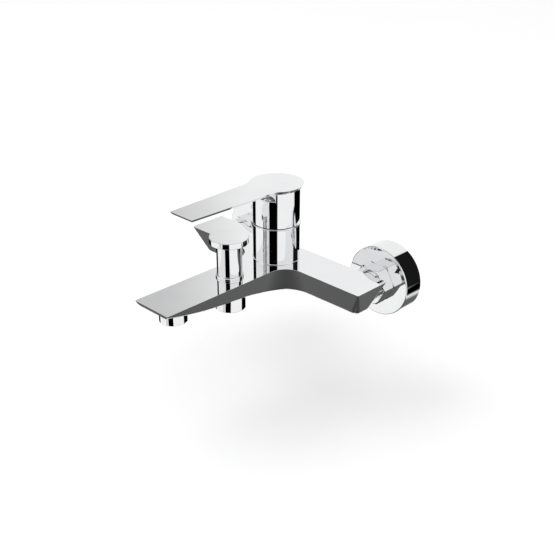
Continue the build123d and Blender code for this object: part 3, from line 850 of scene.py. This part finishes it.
@dataclass
class WallConnection:
    """Union nut, eccentric union and wall cover of one inlet."""

    side: Side
    cover_rim: float = 0.9 * MM
    cover_wall: float = 1.2 * MM
    cover_hole: float = 13.2 * MM
    cover_edge: float = 0.2 * MM
    sleeve_wall: float = 2.2 * MM
    sleeve_depth: float = 5.0 * MM
    cover_segments: int = 200
    nut_edge: float = 0.35 * MM
    thread_start: float = 1.6 * MM
    thread_end_gap: float = 1.6 * MM
    thread_radius: float = 10.42 * MM
    union_waist: float = 11.6 * MM

    def build(self, shop: Workshop) -> None:
        """Make the cover, the nut and the thread, and dress the rest.

        Args:
            shop: The workshop that finishes the pieces.
        """
        side = self.side.value
        self._wall_cover(shop)
        nut = refined_copy(shop.frame["nodes"][f"union_nut_{side}"], f"hex_nut_{side}", self.nut_edge)
        shop.deliver(nut, f"union_nut_{side}")
        for node in ("inlet_tailpiece", "filter_washer", "eccentric_union"):
            shop.dress_node(f"{node}_{side}")
        self._wall_thread(shop)

    def _wall_cover(self, shop: Workshop) -> None:
        """Turn the round cover that hides the hole in the wall.

        Args:
            shop: The workshop that finishes the cover.
        """
        side = self.side.value
        low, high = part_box(f"escutcheon_{side}")
        radius, depth = (high.x - low.x) / 2, high.y - low.y
        centre = Vector(((low.x + high.x) / 2, low.y, (low.z + high.z) / 2))
        wall, hole = self.cover_wall, self.cover_hole
        sleeve = hole + self.sleeve_wall
        cover = [
            (hole, 0, self.cover_edge),
            (radius, 0, self.cover_rim),
            (radius, depth, self.cover_edge),
            (radius - wall, depth, self.cover_edge),
            (radius - wall, wall, self.cover_rim),
            (sleeve, wall, 0),
            (sleeve, self.sleeve_depth, 0),
            (hole, self.sleeve_depth, 0),
        ]
        outline = rounded_path(cover)
        piece = turned_mesh(f"wall_cover_{side}", outline, centre, INTO_WALL, self.cover_segments)
        soften(piece)
        shop.deliver(piece, f"escutcheon_{side}")

    def _wall_thread(self, shop: Workshop) -> None:
        """Wind the thread on the end that goes into the wall.

        Args:
            shop: The workshop that finishes the thread.
        """
        side = self.side.value
        node = f"eccentric_union_{side}"
        low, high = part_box(node)
        start = Vector(((low.x + high.x) / 2, self.thread_start, low.z + self.union_waist))
        thread = Thread(self.thread_radius, high.y - self.thread_start - self.thread_end_gap)
        piece = thread.build(f"wall_thread_{side}", start, INTO_WALL, shop.materials["brass"])
        shop.deliver(piece, node, replaces=False)


@dataclass
class Cartridge:
    """The mixing cartridge inside the column."""

    nodes: tuple[str, ...] = (
        "cartridge_base",
        "cartridge_port_seals",
        "fixed_ceramic_disc",
        "moving_ceramic_disc",
        "disc_carrier",
        "cartridge_housing",
        "cartridge_rotor",
        "stem_pivot_pin",
        "control_stem",
        "cartridge_retaining_nut",
    )

    def build(self, shop: Workshop) -> None:
        """Dress every piece of the cartridge."""
        for node in self.nodes:
            shop.dress_node(node)


# ---------------------------------------------------------------- studio
def facing(bearing: float, east: Signal, north: Signal) -> Signal:
    """Cosine of the level angle between a direction and a bearing.

    Args:
        bearing: Degrees from +X towards +Y.
        east: Level part of the direction along X, of unit length with north.
        north: Level part of the direction along Y.

    Returns:
        The cosine, from -1 to 1.
    """
    turn = math.radians(bearing)
    return east * math.cos(turn) + north * math.sin(turn)


@dataclass(frozen=True)
class Card:
    """A dark card that stands round the object and shows in its chrome."""

    bearing: float
    half_width: float
    low: float
    high: float
    darkness: float = 1.0
    softness: float = 1.5
    level_softness: float = 3.0

    def mask(self, bench: NodeBench, east: Signal, north: Signal, height: Signal) -> Signal:
        """Where the card is seen.

        Args:
            bench: The bench of the world's tree.
            east: Level part of the direction along X, of unit length with north.
            north: Level part of the direction along Y.
            height: Elevation in degrees.

        Returns:
            The card's darkness in that direction.
        """
        outside = math.cos(math.radians(self.half_width + self.softness))
        inside = math.cos(math.radians(max(self.half_width - self.softness, 0.0)))
        above = height.step(self.low - self.level_softness, self.low + self.level_softness)
        below = 1 - height.step(self.high - self.level_softness, self.high + self.level_softness)
        return facing(self.bearing, east, north).step(outside, inside) * above * below * self.darkness


@dataclass
class Studio:
    """Floor, light, surroundings and camera."""

    floor_drop: float = 0.105
    floor_size: float = 12.0
    floor_shade: Colour = (0.955, 0.955, 0.955)
    floor_drift: Colour = (0.97, 0.97, 0.97)
    floor_patches: float = 2.0
    floor_roughness: float = 0.9
    white: float = 1.0
    overhead: float = 0.97
    overhead_from: float = 12.0
    front_dimming: float = 0.36
    front_bearing: float = 150.0
    front_core: float = 5.0
    front_reach: float = 14.0
    zenith_shade: float = 0.8
    zenith_span: Span = (56.0, 64.0)
    ground_near: float = 0.13
    ground_deep: float = 0.06
    ground_span: Span = (-72.0, -44.0)
    ground_edge: Span = (-43.0, -36.0)
    ground_back: float = 0.95
    back_bearing: float = 145.0
    back_core: float = 10.0
    back_reach: float = 34.0
    least_level: float = 1e-6
    reflected_white: Colour = (1.0, 1.0, 1.0)
    plain_white: Colour = (0.98, 0.98, 0.98)
    light_size: float = 1.3
    light_energy: float = 7.0
    light_place: Place = (-0.75, -0.55, 1.5)
    light_target: Place = (0.0, -0.08, 0.0)
    camera_lens: float = 61.08
    camera_sensor: float = 36.0
    camera_reach: float = 100.0
    camera_place: Place = (0.5117, -0.5782, 0.3500)
    camera_back: Place = (0.6317, -0.6371, 0.4417)
    cards: tuple[Card, ...] = (
        Card(-61, 20, -36, -6),
        Card(-61, 20, 19, 58),
        Card(80.5, 30.5, -35, -8),
        Card(64, 20, -20, 47, 0.99),
        Card(165, 30, -40, -6),
        Card(172, 22, 18, 50),
        Card(-90, 1.6, -38, 0, 0.75, 0.7),
        Card(-97, 1.2, -38, 0, 0.65, 0.6),
    )

    def build(self) -> None:
        """Build the whole studio."""
        self._surroundings()
        self._floor()
        self._light()
        self._camera()

    def _surroundings(self) -> None:
        """A white room with dark cards and a dim floor, seen only in reflections."""
        world = bpy.data.worlds.new("studio")
        bpy.context.scene.world = world
        world.use_nodes = True
        bench = NodeBench(world.node_tree)
        direction = bench.make("ShaderNodeTexCoord", output="Generated")
        split = bench.node("ShaderNodeSeparateXYZ", None, [direction])
        x, y, z = (Signal(bench, socket) for socket in split.outputs)
        level = bench.make("ShaderNodeMath", {"operation": "SQRT"}, [x * x + y * y + self.least_level])
        east, north = x / level, y / level
        height = bench.make("ShaderNodeMath", {"operation": "ARCSINE"}, [z]) * (180 / math.pi)
        above = height.step(0, self.overhead_from)
        dimmed = self._wedge(self.front_bearing, self.front_core, self.front_reach, east, north)
        room = above * (self.overhead - self.front_dimming * dimmed) + (1 - above) * self.white
        room = room * (1 - self.zenith_shade * height.step(*self.zenith_span))
        for card in self.cards:
            room = room * (1 - card.mask(bench, east, north, height))
        back = self._wedge(self.back_bearing, self.back_core, self.back_reach, east, north)
        near = height.step(*self.ground_span)
        dark = self.ground_deep + (self.ground_near - self.ground_deep) * near
        grey = dark * (1 - back) + self.ground_back * back
        ground = 1 - height.step(*self.ground_edge)
        room = room * (1 - ground) + ground * grey
        kind = "ShaderNodeBackground"
        reflected = bench.make(kind, None, {"Color": self.reflected_white, "Strength": room})
        plain = bench.make(kind, None, {"Color": self.plain_white, "Strength": 1.0})
        path = bench.node("ShaderNodeLightPath")
        seen = Signal(bench, path.outputs["Is Camera Ray"]) + Signal(bench, path.outputs["Is Diffuse Ray"])
        mixed = bench.make("ShaderNodeMixShader", None, [seen, reflected, plain])
        bench.node("ShaderNodeOutputWorld", None, {"Surface": mixed})

    @staticmethod
    def _wedge(bearing: float, core: float, reach: float, east: Signal, north: Signal) -> Signal:
        """Where a direction lies within a wedge of bearings.

        Args:
            bearing: The wedge's middle, in degrees.
            core: Degrees to either side that are wholly inside.
            reach: Degrees to either side where the wedge ends.
            east: Level part of the direction along X, of unit length with north.
            north: Level part of the direction along Y.

        Returns:
            1 in the core, falling to 0 at the reach.
        """
        outside = math.cos(math.radians(reach))
        inside = math.cos(math.radians(core))
        return facing(bearing, east, north).step(outside, inside)

    def _floor(self) -> None:
        """A plain pale floor below the object."""
        mesh = bpy.data.meshes.new("floor")
        half = self.floor_size / 2
        corners = [(-half, -half), (half, -half), (half, half), (-half, half)]
        mesh.from_pydata([(x, y, -self.floor_drop) for x, y in corners], [], [(0, 1, 2, 3)])
        floor = new_object("floor", mesh)
        floor.visible_glossy = False
        material = bpy.data.materials.new("pale_floor")
        material.use_nodes = True
        bench = NodeBench(material.node_tree)
        place = bench.make("ShaderNodeTexCoord", output="Object")
        patches = bench.make("ShaderNodeTexNoise", None, {"Vector": place, "Scale": self.floor_patches})
        surface = {
            "Base Color": bench.mix(patches, self.floor_shade, self.floor_drift),
            "Roughness": self.floor_roughness,
            "Specular IOR Level": 0.0,
        }
        shader = bench.make("ShaderNodeBsdfPrincipled", None, surface)
        bench.node("ShaderNodeOutputMaterial", None, {"Surface": shader})
        mesh.materials.append(material)

    def _light(self) -> None:
        """One large soft light from the upper left."""
        data = bpy.data.lights.new("soft_light", "AREA")
        data.shape = "DISK"
        data.size = self.light_size
        data.energy = self.light_energy
        light = bpy.data.objects.new("soft_light", data)
        light.location = self.light_place
        aim = Vector(self.light_target) - light.location
        light.rotation_euler = aim.to_track_quat("-Z", "Y").to_euler()
        light.visible_glossy = False
        bpy.context.scene.collection.objects.link(light)

    def _camera(self) -> None:
        """The camera, above and to the right of the spout."""
        data = bpy.data.cameras.new("camera")
        data.lens = self.camera_lens
        data.sensor_width = self.camera_sensor
        data.clip_end = self.camera_reach
        camera = bpy.data.objects.new("camera", data)
        backwards = Vector(self.camera_back).normalized()
        camera.location = self.camera_place
        camera.rotation_euler = backwards.to_track_quat("Z", "Y").to_euler()
        bpy.context.scene.collection.objects.link(camera)
        bpy.context.scene.camera = camera
        bpy.context.scene.view_settings.view_transform = "Standard"


def main() -> None:
    """Build the faucet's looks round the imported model."""
    logging.basicConfig(level=logging.INFO, format="%(name)s: %(message)s")
    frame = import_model()
    Studio().build()
    shop = Workshop(frame)
    assemblies = [CastBody(), LeverSet(), DiverterSet(), AeratorSet(), Cartridge()]
    assemblies += [WallConnection(side) for side in Side]
    for assembly in assemblies:
        assembly.build(shop)


if __name__ == "__main__":
    main()
